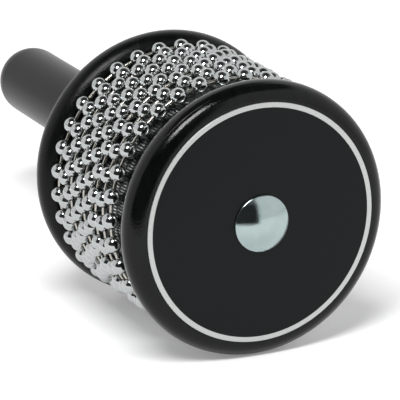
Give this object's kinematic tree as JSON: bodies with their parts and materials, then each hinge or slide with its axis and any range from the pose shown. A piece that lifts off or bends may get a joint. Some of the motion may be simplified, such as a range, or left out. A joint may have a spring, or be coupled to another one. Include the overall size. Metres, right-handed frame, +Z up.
{
  "type": "cabasa",
  "caption": "Hand percussion: loops of steel ball chain turn round a textured drum between two round wooden flanges, on a straight handle.",
  "frame": {"origin": "on the surface that the two flanges lie on, under the middle of the whole length and width", "axes": "+Y along the instrument's axis from the face plate to the end of the handle, +Z up, +X to the right seen from the face plate"},
  "size_m": [0.1016, 0.2278, 0.1016],
  "materials": {
    "flange_lacquer": "gloss black lacquer over turned hardwood",
    "plate_print": "satin black print on thin sheet with a bare silver border",
    "core_wood": "turned hardwood, sealed",
    "sleeve_steel": "bright steel sheet embossed with short ridges",
    "bolt_zinc": "bright zinc plate",
    "insert_brass": "turned and tapped",
    "handle_plastic": "fine matt",
    "bead_plating": "polished nickel plate on steel",
    "link_plating": "polished nickel plate on steel wire"
  },
  "bodies": {
    "head": {"front_flange": "flange_lacquer", "rear_flange": "flange_lacquer", "face_plate": "plate_print", "core": "core_wood", "sleeve": "sleeve_steel", "bolt": "bolt_zinc", "insert": "insert_brass", "handle": "handle_plastic"},
    "loop_1": {"loop_1_beads": "bead_plating", "loop_1_links": "link_plating"},
    "loop_2": {"loop_2_beads": "bead_plating", "loop_2_links": "link_plating"},
    "loop_3": {"loop_3_beads": "bead_plating", "loop_3_links": "link_plating"},
    "loop_4": {"loop_4_beads": "bead_plating", "loop_4_links": "link_plating"},
    "loop_5": {"loop_5_beads": "bead_plating", "loop_5_links": "link_plating"},
    "loop_6": {"loop_6_beads": "bead_plating", "loop_6_links": "link_plating"},
    "loop_7": {"loop_7_beads": "bead_plating", "loop_7_links": "link_plating"},
    "loop_8": {"loop_8_beads": "bead_plating", "loop_8_links": "link_plating"},
    "loop_9": {"loop_9_beads": "bead_plating", "loop_9_links": "link_plating"}
  },
  "joints": [
    {"name": "loop_1_turn", "type": "hinge", "parent": "head", "child": "loop_1", "pos_m": [0, 0, 0.0508], "axis": [0, 1, 0], "continuous": true},
    {"name": "loop_2_turn", "type": "hinge", "parent": "head", "child": "loop_2", "pos_m": [0, 0, 0.0508], "axis": [0, 1, 0], "continuous": true},
    {"name": "loop_3_turn", "type": "hinge", "parent": "head", "child": "loop_3", "pos_m": [0, 0, 0.0508], "axis": [0, 1, 0], "continuous": true},
    {"name": "loop_4_turn", "type": "hinge", "parent": "head", "child": "loop_4", "pos_m": [0, 0, 0.0508], "axis": [0, 1, 0], "continuous": true},
    {"name": "loop_5_turn", "type": "hinge", "parent": "head", "child": "loop_5", "pos_m": [0, 0, 0.0508], "axis": [0, 1, 0], "continuous": true},
    {"name": "loop_6_turn", "type": "hinge", "parent": "head", "child": "loop_6", "pos_m": [0, 0, 0.0508], "axis": [0, 1, 0], "continuous": true},
    {"name": "loop_7_turn", "type": "hinge", "parent": "head", "child": "loop_7", "pos_m": [0, 0, 0.0508], "axis": [0, 1, 0], "continuous": true},
    {"name": "loop_8_turn", "type": "hinge", "parent": "head", "child": "loop_8", "pos_m": [0, 0, 0.0508], "axis": [0, 1, 0], "continuous": true},
    {"name": "loop_9_turn", "type": "hinge", "parent": "head", "child": "loop_9", "pos_m": [0, 0, 0.0508], "axis": [0, 1, 0], "continuous": true}
  ],
  "couplings": [
    {"joint": "loop_4_turn", "follows": "loop_3_turn", "ratio": 1},
    {"joint": "loop_5_turn", "follows": "loop_3_turn", "ratio": 1},
    {"joint": "loop_6_turn", "follows": "loop_3_turn", "ratio": 1},
    {"joint": "loop_8_turn", "follows": "loop_7_turn", "ratio": 1}
  ]
}
